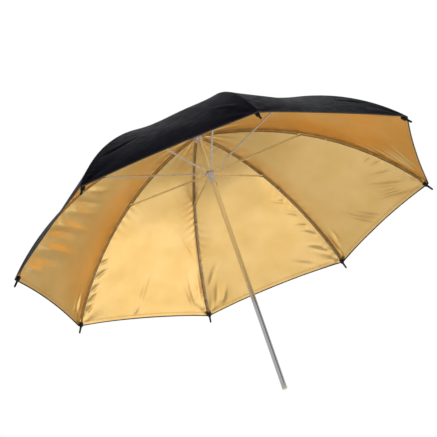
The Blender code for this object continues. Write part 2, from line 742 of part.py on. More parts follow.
def build():
    clear_scene()
    finishes = {
        "chrome": material("chrome", (0.72, 0.72, 0.73), 0.12, 1.0),
        "steel": material("steel", (0.55, 0.55, 0.55), 0.3, 1.0),
        "dark_steel": material("dark_steel", (0.05, 0.04, 0.03), 0.4, 0.6),
        "bright_steel": material("bright_steel", (0.62, 0.58, 0.50), 0.3, 0.9),
        "white_plastic": material("white_plastic", (0.78, 0.76, 0.80), 0.45),
        "pale_plastic": material("pale_plastic", (0.72, 0.70, 0.64), 0.35),
        "black_plastic": material("black_plastic", (0.02, 0.02, 0.02), 0.45),
        "thread": material("thread", (0.75, 0.72, 0.66), 0.9),
        "fabric": material("fabric", (0.72, 0.50, 0.18), 0.45),
    }
    make_shaft(finishes["chrome"], finishes["pale_plastic"], finishes["steel"])
    make_crown(finishes["white_plastic"], finishes["black_plastic"], finishes["steel"])
    make_runner(finishes["white_plastic"])
    make_catch(finishes["steel"])
    make_ribs(finishes)


build()
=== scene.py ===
from math import asin, cos, pi, radians, sin, sqrt, tan

import bpy
import numpy as np
from mathutils import Matrix, Vector


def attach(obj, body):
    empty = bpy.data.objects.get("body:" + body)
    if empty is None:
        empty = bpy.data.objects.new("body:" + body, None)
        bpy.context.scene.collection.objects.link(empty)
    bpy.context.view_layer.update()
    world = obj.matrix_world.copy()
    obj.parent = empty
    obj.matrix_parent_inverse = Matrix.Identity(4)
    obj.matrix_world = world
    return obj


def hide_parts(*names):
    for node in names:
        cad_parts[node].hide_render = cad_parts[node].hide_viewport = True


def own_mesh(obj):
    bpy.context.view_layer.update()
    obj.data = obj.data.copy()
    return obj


# Umbrella reflector: cloth, thread, wire, finishes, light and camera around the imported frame.
# Lengths are in metres. The shaft stands along Z and rib 1 points along +X.

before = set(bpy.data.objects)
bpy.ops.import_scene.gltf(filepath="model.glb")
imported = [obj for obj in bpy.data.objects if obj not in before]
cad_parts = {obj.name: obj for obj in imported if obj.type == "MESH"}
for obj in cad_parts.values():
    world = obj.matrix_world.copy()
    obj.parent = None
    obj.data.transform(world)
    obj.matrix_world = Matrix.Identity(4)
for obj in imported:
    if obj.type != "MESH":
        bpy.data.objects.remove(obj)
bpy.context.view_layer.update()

# Sizes shared with the frame
RIB_COUNT = 8
CROWN_HEIGHT = 0.470
RIM_RADIUS = 0.359
DOME_RADIUS = 0.4385
JOINT_RADIUS = 0.1755
HINGE_RADIUS = 0.0064
RIB_WIDTH = 0.0024
RIB_TOP = 0.0016  # rib's back above its pivot line
RIB_BOTTOM = 0.0012  # rib's open side below its pivot line
SEAM_HALF = 0.0017  # half of the flat strip over a rib
CANOPY_EYE = 0.0062
PIVOT_DEPTH = 0.00274  # pivot line below the canopy's outer face
PANEL_SAG = 0.0056
SAG_LEAN = 1.6
SCALLOP = 0.0060
SCALLOPS = {5: 0.0110}  # a panel whose rim is drawn in further
SCALLOP_LEAN = 5
TIE_RADIUS = 0.215
WIRE_RADIUS = 0.0004
FOLD_TURN = radians(60)  # a rib's travel

PITCH = 2 * pi / RIB_COUNT
HALF = PITCH / 2
EYE_ANGLE = asin(CANOPY_EYE / DOME_RADIUS)
RIM_ANGLE = asin(RIM_RADIUS / DOME_RADIUS)
PIVOT_ARC = DOME_RADIUS - PIVOT_DEPTH
CENTRE_Z = -sqrt(PIVOT_ARC**2 - HINGE_RADIUS**2)  # centre of the seams' arcs from the hinges
JOINT_DROP = sqrt(PIVOT_ARC**2 - JOINT_RADIUS**2) + CENTRE_Z
RUNNER_Z = CROWN_HEIGHT + 2 * JOINT_DROP

# Cloth
CLOTH = 0.0004
HEM_WIDTH = 0.0084
HEM_RAISE = 0.00030
BINDING_WIDTH = 0.0018
BINDING_RAISE = 0.00025
TAPE_WIDTH = 0.0053  # seam allowance pressed to one side of each rib
TAPE_RAISE = 0.00035
STEP = 0.0003  # how fast a fold's edge drops
RIDGE_HALF = 0.0008
RIDGE_RAISE = 0.00035
ROWS = 168
COLUMNS = 44
ZONES = 12  # lengths of canopy, each a piece of its own, with its own fold share worked out
PANEL_APART = 1.0  # between two panels in the weave's coordinates
TAPE_COLUMNS = 5  # columns of cloth that lie on the pressed seam allowance
TAPE_FULL = 0.03  # half-panel width from which the seam allowance has its full height
BOUND_REACH = BINDING_WIDTH + 1.5 * STEP  # faces nearer to the rim than this are binding
RIDGE_DIP = 0.7  # height of the stitched line on a seam's ridge, as a share of the ridge
LEAST_KEEP = 0.03  # narrowest share of its width that a zone folds to
PLAIN_PANEL = 0  # a number with no folds in the table, and with swells of its own
STITCH_INSET = 0.0013  # lockstitch below the hem's upper edge
STITCH_HALF = 0.00025
STITCH_PITCH = 0.003
STITCH_LEVEL = -0.4  # thread shows where a wave along the rim is above this
BLACK, GOLD, BINDING = range(3)


# ---------------------------------------------------------------- finishes

def node(tree, kind, values=None, **settings):
    made = tree.nodes.new("ShaderNode" + kind)
    for key, value in settings.items():
        setattr(made, key, value)
    for key, value in (values or {}).items():
        if isinstance(value, bpy.types.NodeSocket):
            tree.links.new(value, made.inputs[key])
        else:
            made.inputs[key].default_value = value
    return made


def maths(tree, operation, first, second=0.0):
    return node(tree, "Math", {0: first, 1: second}, operation=operation).outputs[0]


def ramp(tree, fac, low, high, start=0.0, end=1.0):
    """A colour or grey that goes from low to high as fac goes from start to end."""
    made = node(tree, "ValToRGB", {"Fac": fac})
    for element, place, value in zip(made.color_ramp.elements, (start, end), (low, high)):
        element.position = place
        element.color = (*value, 1.0) if hasattr(value, "__len__") else (value, value, value, 1.0)
    return made.outputs["Color"]


def noise(tree, vector, scale, detail=3.0, stretch=(1, 1, 1)):
    placed = node(tree, "Mapping", {"Vector": vector, "Scale": stretch}).outputs[0]
    return node(tree, "TexNoise", {"Vector": placed, "Scale": scale, "Detail": detail}).outputs["Fac"]


def finish(name, colour, roughness, bumps=(), **sockets):
    """A Principled material. colour, roughness and each bump are functions of the tree."""
    made = bpy.data.materials.new(name)
    made.use_nodes = True
    tree = made.node_tree
    shader = tree.nodes["Principled BSDF"]
    for key, value in sockets.items():
        shader.inputs[key.replace("_", " ")].default_value = value
    tree.links.new(colour(tree), shader.inputs["Base Color"])
    tree.links.new(roughness(tree), shader.inputs["Roughness"])
    normal = None
    for strength, distance, height in bumps:
        values = {"Strength": strength, "Distance": distance, "Height": height(tree)}
        if normal is not None:
            values["Normal"] = normal
        normal = node(tree, "Bump", values).outputs[0]
    if normal is not None:
        tree.links.new(normal, shader.inputs["Normal"])
    return made


def cloth_place(tree):
    return node(tree, "UVMap", uv_map="cloth").outputs["UV"]


def solid_place(tree):
    return node(tree, "TexCoord").outputs["Object"]


def weave(pitch_across, pitch_along):
    """Height of a warp-faced weave, with uneven threads."""
    def height(tree):
        place = cloth_place(tree)
        parts = node(tree, "SeparateXYZ", {0: place})
        across = maths(tree, "SINE", maths(tree, "MULTIPLY", parts.outputs[0], 2 * pi / pitch_across))
        along = maths(tree, "SINE", maths(tree, "MULTIPLY", parts.outputs[1], 2 * pi / pitch_along))
        cross = maths(tree, "MULTIPLY", across, along)
        slub = noise(tree, place, 900.0, 2.0, (1.0, 0.25, 1.0))
        return maths(tree, "ADD", cross, maths(tree, "MULTIPLY", slub, 2.0))
    return height


def mixed(tree, share, first, second, blend="MIX"):
    made = node(tree, "Mix", {0: share, 6: first, 7: second}, data_type="RGBA", blend_type=blend)
    return made.outputs[2]


def stitch_line(tree, place_socket, at, half_width):
    off = maths(tree, "ABSOLUTE", maths(tree, "SUBTRACT", place_socket, at))
    return maths(tree, "LESS_THAN", off, half_width)


def stitches(tree):
    """1 on the thread of the hem's lockstitch, 0 elsewhere."""
    parts = node(tree, "SeparateXYZ", {0: cloth_place(tree)})
    line = stitch_line(tree, parts.outputs[1], HEM_WIDTH - STITCH_INSET, STITCH_HALF)
    wave = maths(tree, "SINE", maths(tree, "MULTIPLY", parts.outputs[0], 2 * pi / STITCH_PITCH))
    dash = maths(tree, "GREATER_THAN", wave, STITCH_LEVEL)
    return maths(tree, "MULTIPLY", line, dash)


def gold_colour(tree):
    place = cloth_place(tree)
    broad = noise(tree, place, 14.0, 2.0)
    base = ramp(tree, broad, (0.87, 0.565, 0.195), (0.94, 0.635, 0.250), 0.35, 0.65)
    fleck = noise(tree, place, 420.0, 3.0)
    dark = ramp(tree, fleck, 0.955, 1.0, 0.3, 0.6)
    threaded = mixed(tree, 1.0, base, dark, "MULTIPLY")
    return mixed(tree, stitches(tree), threaded, (0.30, 0.16, 0.05, 1.0))


def black_colour(tree):
    place = cloth_place(tree)
    broad = noise(tree, place, 22.0, 3.0)
    base = ramp(tree, broad, (0.0026, 0.0025, 0.0060), (0.0048, 0.0048, 0.0100), 0.35, 0.65)
    return mixed(tree, stitches(tree), base, (0.03, 0.03, 0.035, 1.0))


def uneven(place, scale, low, high, stretch=(1, 1, 1), detail=3.0):
    """A colour or grey between two, by noise."""
    def made(tree):
        return ramp(tree, noise(tree, place(tree), scale, detail, stretch), low, high, 0.32, 0.68)
    return made


def grain(place, scale, stretch=(1, 1, 1), detail=3.0):
    def height(tree):
        return noise(tree, place(tree), scale, detail, stretch)
    return height


finishes = {
    "gold": finish(
        "gold_satin", gold_colour, uneven(cloth_place, 40.0, 0.29, 0.37),
        [(0.10, 0.0001, weave(0.0007, 0.0004)), (0.25, 0.0006, grain(cloth_place, 90.0))],
        Metallic=0.92, Specular_Tint=(1.0, 0.80, 0.50, 1.0),
    ),
    "black": finish(
        "black_nylon", black_colour, uneven(cloth_place, 60.0, 0.36, 0.48),
        [(0.15, 0.0001, weave(0.0005, 0.0005)), (0.2, 0.0006, grain(cloth_place, 90.0))],
        Sheen_Weight=0.012, Sheen_Roughness=0.30, Sheen_Tint=(0.55, 0.68, 1.0, 1.0),
        Specular_IOR_Level=0.010,
    ),
    "binding": finish(
        "hem_binding", uneven(cloth_place, 400.0, (0.020, 0.013, 0.008), (0.05, 0.032, 0.018)),
        uneven(cloth_place, 300.0, 0.6, 0.75), [(0.4, 0.0002, grain(cloth_place, 2500.0, (1.0, 0.3, 1.0)))],
        Sheen_Weight=0.1,
    ),
    "thread": finish(
        "white_thread", uneven(solid_place, 900.0, (0.62, 0.58, 0.50), (0.86, 0.84, 0.78)),
        uneven(solid_place, 700.0, 0.75, 0.9), [(0.5, 0.0001, grain(solid_place, 4200.0))],
        Sheen_Weight=0.3,
    ),
    "shaft": finish(
        "shaft_chrome", uneven(solid_place, 50.0, (0.70, 0.70, 0.71), (0.80, 0.80, 0.81), (1, 1, 0.15)),
        uneven(solid_place, 700.0, 0.10, 0.20, (1, 1, 0.02)),
        [(0.04, 0.0001, grain(solid_place, 2500.0, (1, 1, 0.01)))], Metallic=1.0,
    ),
    "steel": finish(
        "plated_steel", uneven(solid_place, 300.0, (0.48, 0.48, 0.47), (0.66, 0.65, 0.63)),
        uneven(solid_place, 500.0, 0.22, 0.36), [(0.1, 0.0001, grain(solid_place, 1800.0))], Metallic=1.0,
    ),
    "rib": finish(
        "rib_dark_steel", uneven(solid_place, 90.0, (0.36, 0.29, 0.20), (0.52, 0.43, 0.31)),
        uneven(solid_place, 400.0, 0.24, 0.38), [(0.15, 0.0001, grain(solid_place, 1500.0))],
        Metallic=1.0,
    ),
    "stretcher": finish(
        "stretcher_bright_steel", uneven(solid_place, 110.0, (0.66, 0.62, 0.54), (0.80, 0.77, 0.70)),
        uneven(solid_place, 500.0, 0.18, 0.34), [(0.1, 0.0001, grain(solid_place, 1500.0))],
        Metallic=1.0,
    ),
    "white_plastic": finish(
        "white_plastic", uneven(solid_place, 160.0, (0.66, 0.64, 0.68), (0.80, 0.78, 0.81)),
        uneven(solid_place, 400.0, 0.32, 0.46), [(0.12, 0.0002, grain(solid_place, 900.0))],
        Subsurface_Weight=0.15, Subsurface_Scale=0.004,
    ),
    "end_cap": finish(
        "pale_plastic", uneven(solid_place, 200.0, (0.66, 0.63, 0.57), (0.80, 0.78, 0.73)),
        uneven(solid_place, 400.0, 0.24, 0.36), [(0.1, 0.0002, grain(solid_place, 900.0))],
        Subsurface_Weight=0.3, Subsurface_Scale=0.004,
    ),
    "black_plastic": finish(
        "black_plastic", uneven(solid_place, 200.0, (0.004, 0.004, 0.004), (0.011, 0.010, 0.010)),
        uneven(solid_place, 500.0, 0.42, 0.58), [(0.2, 0.0002, grain(solid_place, 1100.0))],
        Specular_IOR_Level=0.25,
    ),
}

NODE_FINISHES = {
    "shaft_tube": "shaft", "shaft_end_cap": "end_cap",
    "crown_notch": "white_plastic", "runner": "white_plastic",
    "canopy_washer": "black_plastic", "top_ferrule": "black_plastic",
    "catch_spring": "steel", "crown_tie_wire": "steel", "crown_pin": "steel", "stop_pin": "steel",
}
NUMBERED_FINISHES = {
    "rib_tip_": "black_plastic", "joint_rivet_": "steel", "stretcher_": "stretcher", "rib_": "rib",
}

for name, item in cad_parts.items():
    wanted = NODE_FINISHES.get(name)
    if wanted is None:
        wanted = next((f for start, f in NUMBERED_FINISHES.items() if name.startswith(start)), None)
    if wanted is not None:
        item.data.materials.clear()
        item.data.materials.append(finishes[wanted])


# ---------------------------------------------------------------- canopy

def dice(*key):
    """The same random numbers each run for a panel and a kind of crease."""
    return np.random.default_rng([473, *key])


# Folds that a panel has of its own: side of the panel (-1 or 1), start from that seam and
# from the rim, heading in degrees (0 runs straight off the seam, 90 towards the crown),
# length, half width and depth
FOLDS = {
    1: [
        (-1, 0.014, 0.022, 38, 0.110, 0.0050, 0.0011), (-1, 0.020, 0.010, 24, 0.105, 0.0045, -0.0010),
        (-1, 0.030, 0.026, 16, 0.080, 0.0045, 0.0008), (-1, 0.010, 0.058, 28, 0.070, 0.0045, 0.0008),
        (-1, 0.120, 0.003, 62, 0.075, 0.0042, 0.0013), (-1, 0.138, 0.004, 66, 0.085, 0.0042, -0.0012),
        (1, 0.012, 0.010, 84, 0.062, 0.0050, 0.0019), (1, 0.020, 0.030, 78, 0.045, 0.0040, -0.0009),
        (-1, 0.004, 0.085, 20, 0.034, 0.0040, 0.0008), (-1, 0.004, 0.108, 14, 0.030, 0.0040, -0.0007),
    ],
    2: [
        (-1, 0.005, 0.028, 35, 0.040, 0.0042, 0.0010), (-1, 0.008, 0.045, 22, 0.036, 0.0040, -0.0009),
        (-1, 0.005, 0.068, 42, 0.038, 0.0042, 0.0010), (-1, 0.007, 0.092, 30, 0.032, 0.0040, 0.0008),
        (-1, 0.006, 0.120, 55, 0.040, 0.0042, -0.0008), (-1, 0.006, 0.158, 48, 0.036, 0.0040, 0.0007),
        (-1, 0.040, 0.012, 30, 0.060, 0.0050, 0.0007), (1, 0.014, 0.008, 74, 0.058, 0.0045, 0.0014),
        (1, 0.026, 0.006, 66, 0.050, 0.0045, -0.0011), (1, 0.006, 0.050, 60, 0.060, 0.0050, 0.0010),
    ],
    3: [
        (1, 0.003, 0.024, 40, 0.024, 0.0036, 0.0014), (1, 0.003, 0.041, 42, 0.028, 0.0036, 0.0013),
        (1, 0.003, 0.060, 46, 0.026, 0.0036, 0.0013), (1, 0.003, 0.084, 48, 0.034, 0.0038, 0.0015),
        (1, 0.003, 0.112, 44, 0.024, 0.0036, 0.0011), (1, 0.105, 0.004, 78, 0.042, 0.0046, -0.0009),
        (1, 0.112, 0.016, 90, 0.105, 0.0045, 0.0009), (-1, 0.010, 0.018, 88, 0.090, 0.0050, 0.0014),
        (-1, 0.020, 0.012, 82, 0.110, 0.0048, -0.0011), (-1, 0.034, 0.010, 76, 0.070, 0.0048, 0.0009),
        (-1, 0.006, 0.110, 66, 0.090, 0.0050, -0.0009),
    ],
    4: [
        (1, 0.002, 0.030, 4, 0.085, 0.0065, 0.0015), (1, 0.002, 0.049, 11, 0.125, 0.0080, -0.0019),
        (1, 0.002, 0.069, 13, 0.135, 0.0085, 0.0024), (1, 0.002, 0.101, 19, 0.110, 0.0075, -0.0020),
        (1, 0.002, 0.118, 17, 0.120, 0.0080, 0.0023), (1, 0.002, 0.149, 24, 0.095, 0.0070, 0.0016),
        (1, 0.002, 0.171, 27, 0.080, 0.0065, -0.0014), (1, 0.002, 0.203, 31, 0.060, 0.0060, 0.0011),
        (-1, 0.010, 0.012, 72, 0.060, 0.0050, 0.0012), (-1, 0.020, 0.008, 80, 0.055, 0.0048, -0.0012),
        (-1, 0.032, 0.006, 86, 0.058, 0.0048, 0.0010),
    ],
    5: [(1, 0.006, 0.060, 40, 0.060, 0.0050, 0.0010), (-1, 0.008, 0.040, 50, 0.070, 0.0050, 0.0011)],
    6: [(-1, 0.008, 0.070, 44, 0.080, 0.0055, 0.0012), (1, 0.010, 0.040, 58, 0.070, 0.0050, -0.0010)],
    7: [(-1, 0.010, 0.050, 52, 0.080, 0.0055, 0.0011), (1, 0.008, 0.060, 46, 0.070, 0.0050, 0.0010)],
    8: [
        (1, 0.012, 0.014, 58, 0.110, 0.0050, 0.0017), (1, 0.024, 0.012, 50, 0.105, 0.0048, -0.0015),
        (1, 0.008, 0.044, 62, 0.100, 0.0050, 0.0014), (1, 0.040, 0.010, 42, 0.090, 0.0050, 0.0013),
        (1, 0.006, 0.084, 66, 0.080, 0.0048, -0.0011), (-1, 0.010, 0.020, 60, 0.090, 0.0050, 0.0012),
    ],
}
FOLD_STRENGTH = 1.5
FOLD_RISE = 0.34  # share of a fold's length in which it reaches its depth
SEWN_FADE = 0.006  # distance from a seam or the rim in which a fold dies out
TIP_REACH = 0.024  # distance from a rib tip at which the tip's creases are deepest
PUCKER_DEPTH = 0.0006
PUCKER_FADE = 0.009
GATHER_DEPTH = 0.0005
GATHER_RADIUS = 0.045
GATHER_WIDTH = 0.040
SWELL_COUNT = 4
SWELL_DEPTH = 0.0007


def eased(share):
    share = np.clip(share, 0, 1)
    return share * share * (3 - 2 * share)


def panel_beside(rib, side):
    """Number of the panel on the left (1) or the right (-1) of a rib."""
    return rib if side > 0 else (rib - 2) % RIB_COUNT + 1


def half_width_at(radius):
    """From mid-panel to the edge of the seam's strip."""
    return radius * sin(HALF) - SEAM_HALF * cos(HALF)


def run_at(angle):
    """0 at the crown's eye and 1 at the rim."""
    return (angle - EYE_ANGLE) / (RIM_ANGLE - EYE_ANGLE)


def creases(panel, angle, u):
    """How far a panel's cloth lies inwards of its smooth shape."""
    radius = DOME_RADIUS * np.sin(angle)
    half_width = half_width_at(radius)
    from_rim = (RIM_ANGLE - angle) * DOME_RADIUS
    depth = np.zeros(np.broadcast(angle, u).shape)
    run = np.clip(run_at(angle), 0, 1)
    free = 1 - u**2
    # every fold dies out before the seam and the rim, which are sewn
    at_rim = eased(from_rim / SEWN_FADE)
    for number, side in enumerate((-1, 1)):
        from_seam = np.maximum(half_width * (1 - side * u), 0)
        at_seam = eased(from_seam / SEWN_FADE)
        roll = dice(panel, number, 1)
        # creases that spread from the rib tip
        reach = np.hypot(from_seam, from_rim) + 1e-6
        spread = np.arctan2(from_seam, np.maximum(from_rim, 0) + 1e-6)
        size = (reach / TIP_REACH) ** 2 * np.exp(2 - 2 * reach / TIP_REACH)
        wave = np.cos(roll.uniform(6, 8) * spread + roll.uniform(0, 6))
        depth += roll.uniform(0.0003, 0.0006) * size * wave * at_seam
        # puckers along the seam, in uneven groups
        length = roll.uniform(0.014, 0.020)
        drift = 1.9 * np.sin(from_rim / 0.041 + roll.uniform(0, 6))
        group = 0.5 + 0.5 * np.sin(from_rim / 0.028 + roll.uniform(0, 6))
        fade = np.exp(-from_seam / PUCKER_FADE) * at_seam * group
        depth += PUCKER_DEPTH * fade * np.sin(2 * pi * (from_rim + 0.6 * from_seam) / length + drift)
        for own_side, start_s, start_r, heading, length, half, deep in FOLDS.get(panel, ()):
            if own_side != side:
                continue
            off_s, off_r = from_seam - start_s, from_rim - start_r
            along_s, along_r = cos(radians(heading)), sin(radians(heading))
            along = (off_s * along_s + off_r * along_r) / length
            aside = off_r * along_s - off_s * along_r
            aside = aside + 0.0014 * np.sin(5.0 * along + 30 * start_r)
            taper = eased(along / FOLD_RISE) * eased((1 - along) / (1 - FOLD_RISE))
            depth += FOLD_STRENGTH * deep * taper * np.exp(-((aside / half) ** 2)) * at_seam * at_rim
    roll = dice(panel, 2, 1)
    # gathers round the crown
    near_crown = np.exp(-(((radius - GATHER_RADIUS) / GATHER_WIDTH) ** 2))
    depth += GATHER_DEPTH * near_crown * free * np.cos(3 * pi * u + roll.uniform(0, 6))
    # slow swells
    across = u * half_width
    for _ in range(SWELL_COUNT):
        turn, length = roll.uniform(0, pi), roll.uniform(0.09, 0.20)
        phase = 2 * pi * (across * cos(turn) + from_rim * sin(turn)) / length + roll.uniform(0, 6)
        depth += SWELL_DEPTH * free * np.sin(pi * run) ** 0.5 * np.sin(phase)
    return depth


def panel_point(panel, angle, u):
    """The canopy's outer face in the panel's frame: X to mid-panel, Y across, Z up from the rib hinges."""
    radius = DOME_RADIUS * np.sin(angle)
    x = radius * cos(HALF) + SEAM_HALF * sin(HALF) + 0 * u
    y = u * half_width_at(radius)
    z = DOME_RADIUS * np.cos(angle) + CENTRE_Z + 0 * u
    bow = 1 - u**2
    run = np.clip(run_at(angle), 0, 1)
    depth = PANEL_SAG * bow * np.sin(pi * run**SAG_LEAN) + creases(panel, angle, u)
    lift = SCALLOPS.get(panel, SCALLOP) * bow * run**SCALLOP_LEAN
    x = x - np.sin(angle) * depth - np.cos(angle) * lift
    z = z - np.cos(angle) * depth + np.sin(angle) * lift
    return np.stack([x, y, z], -1)


def turned_only(vectors, azimuth):
    x, y, z = vectors[..., 0], vectors[..., 1], vectors[..., 2]
    return np.stack([x * cos(azimuth) - y * sin(azimuth), x * sin(azimuth) + y * cos(azimuth), z], -1)


def in_row_frame(points, azimuth):
    """Points whose X points to an azimuth and whose Z counts from the hinges, in the row frame."""
    return turned_only(points, azimuth) + (0.0, 0.0, CROWN_HEIGHT)


def row_angles():
    """Rows from the crown to the rim, with pairs at the edges of the hem and its binding."""
    folds = [HEM_WIDTH + STEP, HEM_WIDTH, BINDING_WIDTH + STEP, BINDING_WIDTH, 0.0009, 0.0]
    last = RIM_ANGLE - (HEM_WIDTH + STEP) / DOME_RADIUS
    plain = list(np.linspace(EYE_ANGLE, last, ROWS))[:-1]
    return np.array(plain + [RIM_ANGLE - fold / DOME_RADIUS for fold in folds])


def column_places(angle):
    """Distances from the seam's edge to mid-panel, each row its own."""
    half_width = half_width_at(DOME_RADIUS * np.sin(angle))
    first = np.array([0.0, 0.0012, 0.0026, 0.0040, TAPE_WIDTH, TAPE_WIDTH + STEP])
    shrink = np.minimum(1.0, half_width / (4 * first[-1]))
    near = first[None, :] * shrink[:, None]
    share = np.linspace(0, 1, COLUMNS - len(first) + 1)[1:]
    far = near[:, -1:] + (half_width[:, None] - near[:, -1:]) * share[None, :]
    return np.concatenate([near, far], 1), half_width


def mesh_from(name, points, faces, finishes_used, kinds=None, normals=None, places=None):
    mesh = bpy.data.meshes.new(name)
    mesh.from_pydata([tuple(p) for p in points], [], [tuple(int(i) for i in f) for f in faces])
    for used in finishes_used:
        mesh.materials.append(used)
    mesh.polygons.foreach_set("use_smooth", [True] * len(mesh.polygons))
    if kinds is not None:
        mesh.polygons.foreach_set("material_index", [int(k) for k in kinds])
    if places is not None:
        layer = mesh.uv_layers.new(name="cloth")
        corners = np.empty(len(mesh.loops), np.int32)
        mesh.loops.foreach_get("vertex_index", corners)
        layer.data.foreach_set("uv", places[corners].astype(np.float32).ravel())
    if normals is not None:
        mesh.normals_split_custom_set(normals.reshape(-1, 3).tolist())
    mesh.update()
    return mesh


def link(name, data):
    item = bpy.data.objects.new(name, data)
    bpy.context.scene.collection.objects.link(item)
    return item


def half_panel(rib, side, first_row, last_row, angles):
    """Half a panel beside a rib between two rows, as a closed shell of cloth."""
    panel = panel_beside(rib, side)
    middle = PITCH * (panel - 1) + HALF
    angle = angles[first_row:last_row + 1]
    distance, half_width = column_places(angle)
    u = -side * (1 - distance / half_width[:, None])
    u[:, -1] = 0.0
    grid = angle[:, None] + 0 * u
    outer = panel_point(panel, grid, u)
    nudge = 1e-4
    down = panel_point(panel, grid + nudge, u) - panel_point(panel, grid - nudge, u)
    over = panel_point(panel, grid, u + nudge) - panel_point(panel, grid, u - nudge)
    inwards = np.cross(over, down)
    inwards /= np.linalg.norm(inwards, axis=-1, keepdims=True)
    from_rim = (RIM_ANGLE - angle) * DOME_RADIUS
    raised = HEM_RAISE * (from_rim < HEM_WIDTH + STEP / 2)[:, None] + 0 * u
    bound = (from_rim < BINDING_WIDTH + STEP / 2)[:, None]
    raised = raised + BINDING_RAISE * bound
    if side > 0:
        raised[:, :TAPE_COLUMNS] += TAPE_RAISE * np.minimum(1.0, half_width / TAPE_FULL)[:, None]
    inner = outer + inwards * (CLOTH + raised)[..., None]
    outer = outer - inwards * (BINDING_RAISE * bound + 0 * u)[..., None]
    rows, columns = u.shape
    count = rows * columns
    points = in_row_frame(np.concatenate([inner.reshape(-1, 3), outer.reshape(-1, 3)]), middle)
    facing = turned_only(np.concatenate([inwards.reshape(-1, 3), -inwards.reshape(-1, 3)]), middle)
    index = np.arange(count).reshape(rows, columns)
    quads = np.stack([index[:-1, :-1], index[:-1, 1:], index[1:, 1:], index[1:, :-1]], -1).reshape(-1, 4)
    rim_rows = (from_rim[:-1] < BOUND_REACH)[:, None] & np.ones((1, columns - 1), bool)
    bound_faces = rim_rows.ravel()
    jump = np.abs(np.diff(raised, axis=0))[:, :-1] > 1e-5
    jump |= np.abs(np.diff(raised, axis=1))[:-1, :] > 1e-5
    ring = np.concatenate([index[0, :-1], index[:-1, -1], index[-1, :0:-1], index[:0:-1, 0]])
    ahead = np.roll(ring, -1)
    walls = np.stack([ahead, ring, ring + count, ahead + count], -1)
    faces = np.concatenate([quads, quads[:, ::-1] + count, walls])
    smooth = facing[faces]
    if side < 0:
        faces = faces[:, ::-1]
        smooth = smooth[:, ::-1]
    a, b, c, d = (points[faces[:, i]] for i in range(4))
    flat = np.cross(c - a, d - b)
    flat /= np.maximum(np.linalg.norm(flat, axis=1, keepdims=True), 1e-12)
    hard = np.concatenate([jump.ravel(), np.zeros(len(quads), bool), np.ones(len(walls), bool)])
    smooth[hard] = flat[hard][:, None, :]
    kinds = np.concatenate([
        np.where(bound_faces, BINDING, GOLD),
        np.where(bound_faces, BINDING, BLACK),
        np.full(len(walls), BINDING if last_row == len(angles) - 1 else BLACK),
    ])
    # laid out by panel, so that both halves carry one weave
    across = u * half_width[:, None] + PANEL_APART * panel
    place = np.stack([across, from_rim[:, None] + 0 * u], -1).reshape(-1, 2)
    name = f"gore_{rib}_{'left' if side > 0 else 'right'}_{first_row}"
    return mesh_from(
        name, points, faces, [finishes["black"], finishes["gold"], finishes["binding"]],
        kinds, smooth, np.concatenate([place, place]),
    )


def seam_strip(rib, angles):
    """The sewn seam over a rib: a flat strip with a ridge on its outer side."""
    section = [
        (-SEAM_HALF, -CLOTH), (SEAM_HALF, -CLOTH), (SEAM_HALF, 0.0), (RIDGE_HALF + STEP, 0.0),
        (RIDGE_HALF, RIDGE_RAISE), (0.0, RIDGE_RAISE * RIDGE_DIP), (-RIDGE_HALF, RIDGE_RAISE),
        (-RIDGE_HALF - STEP, 0.0), (-SEAM_HALF, 0.0),
    ]
    azimuth = PITCH * (rib - 1)
    points, places = [], []
    for angle in angles:
        out = (sin(angle), cos(angle))
        for across, height in section:
            reach = DOME_RADIUS + height
            points.append((reach * out[0], across, reach * out[1] + CENTRE_Z))
            places.append((across, (RIM_ANGLE - angle) * DOME_RADIUS))
    count = len(section)
    faces, kinds = [], []
    for row in range(len(angles) - 1):
        bound = (RIM_ANGLE - angles[row]) * DOME_RADIUS < BOUND_REACH
        for i in range(count):
            j = (i + 1) % count
            near, far = row * count, (row + 1) * count
            faces.append((near + i, far + i, far + j, near + j))
            kinds.append(BINDING if bound else GOLD if i == 0 else BLACK)
    ends = [tuple(range(count)), tuple((len(angles) - 1) * count + i for i in reversed(range(count)))]
    points = in_row_frame(np.array(points), azimuth)
    faces += ends
    kinds += [BLACK, BINDING]
    mesh = mesh_from(
        f"seam_{rib}", points, faces, [finishes["black"], finishes["gold"], finishes["binding"]],
        kinds, None, np.array(places),
    )
    mesh.set_sharp_from_angle(angle=radians(30))
    return mesh


def fold(rib, side, angle):
    """Axis, anchor and keep that bring a zone's mid-panel edge to its neighbour's when folded."""
    towards = np.array([-sin(HALF), side * cos(HALF), 0.0])
    run = np.array([cos(angle), 0.0, -sin(angle)])
    axis = towards - run * (towards @ run)
    axis /= np.linalg.norm(axis)
    anchor = np.array([DOME_RADIUS * sin(angle), side * SEAM_HALF, DOME_RADIUS * cos(angle) + CENTRE_Z])
    edge = panel_point(PLAIN_PANEL, np.array(angle), np.array(0.0))
    middle = np.array([edge[0] * cos(HALF), side * edge[0] * sin(HALF), edge[2]])
    misses = []
    for keep in (0.0, 1.0):
        moved = middle - axis * ((middle - anchor) @ axis) * (1 - keep)
        x = moved[0] - HINGE_RADIUS
        folded_x = x * cos(FOLD_TURN) + moved[2] * sin(FOLD_TURN) + HINGE_RADIUS
        misses.append(side * moved[1] - tan(HALF) * folded_x)
    keep = misses[0] / (misses[0] - misses[1])
    azimuth = PITCH * (rib - 1)
    return turned_only(axis, azimuth), in_row_frame(anchor, azimuth), float(min(max(keep, LEAST_KEEP), 1.0))


